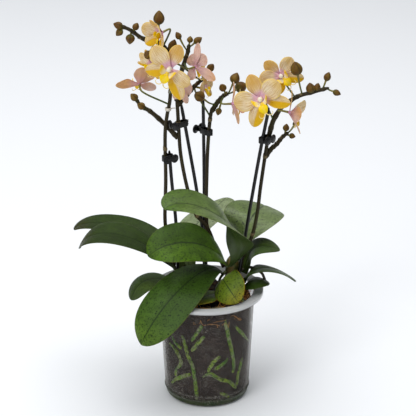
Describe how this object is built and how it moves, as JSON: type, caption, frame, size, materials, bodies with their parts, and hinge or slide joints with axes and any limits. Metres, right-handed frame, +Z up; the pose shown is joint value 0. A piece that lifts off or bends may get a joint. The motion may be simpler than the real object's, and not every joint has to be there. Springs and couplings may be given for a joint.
{
  "type": "potted orchid",
  "caption": "Potted moth orchid: arching leaves, clipped flower spikes with open blooms and buds, in a clear grow pot of bark mix.",
  "frame": {"origin": "centre of the pot's flat base, on the surface that it stands on", "axes": "+Z up along the pot's axis, -Y towards the side where the big leaf hangs over the rim, +X to the right seen from there"},
  "size_m": [0.2807, 0.1841, 0.4235],
  "materials": {
    "clear_plastic": "thin clear polypropylene, scuffed",
    "bark_mix": "damp bark, coir and peat, rough",
    "root": "living root, satin",
    "leaf": "living leaf, waxy satin",
    "young_leaf": "living leaf turning yellow, waxy satin",
    "spike": "living stem, satin",
    "tepal": "living petal, soft satin",
    "lip": "living petal, satin",
    "black_plastic": "moulded plastic, satin",
    "tie": "paper-covered wire",
    "tag": "blank plastic slip, matt"
  },
  "bodies": {
    "root": {"pot": "clear_plastic", "bark_mix": "bark_mix", "stem_and_roots_right": "root", "stem_and_roots_left": "root", "leaf_crest": "leaf", "leaf_front_left": "leaf", "leaf_long_upper": "leaf", "leaf_long_lower": "leaf", "leaf_big_front": "leaf", "leaf_low_left": "leaf", "leaf_round_front": "young_leaf", "leaf_under_front": "young_leaf", "leaf_back_left": "leaf", "leaf_back_right": "leaf", "leaf_right_upper": "leaf", "leaf_right_long": "leaf", "leaf_right_low": "leaf", "spike_left": "spike", "spike_centre_left": "spike", "spike_centre": "spike", "spike_right": "spike", "bloom_top_left": "tepal", "lip_top_left": "lip", "bloom_main_left": "tepal", "lip_main_left": "lip", "bloom_side_left": "tepal", "lip_side_left": "lip", "bloom_far_left": "tepal", "lip_far_left": "lip", "bloom_upper_centre": "tepal", "lip_upper_centre": "lip", "bloom_lower_centre": "tepal", "lip_lower_centre": "lip", "bloom_behind_left": "tepal", "lip_behind_left": "lip", "bloom_edge_right": "tepal", "lip_edge_right": "lip", "bloom_main_right": "tepal", "lip_main_right": "lip", "bloom_upper_right": "tepal", "lip_upper_right": "lip", "bloom_lower_right": "tepal", "lip_lower_right": "lip", "stake_left": "black_plastic", "stake_centre_left": "black_plastic", "stake_centre": "black_plastic", "stake_right": "black_plastic", "clip_left": "black_plastic", "clip_centre_left": "black_plastic", "clip_centre": "black_plastic", "clip_right": "black_plastic", "tie": "tie", "plant_tag": "tag"}
  },
  "joints": []
}
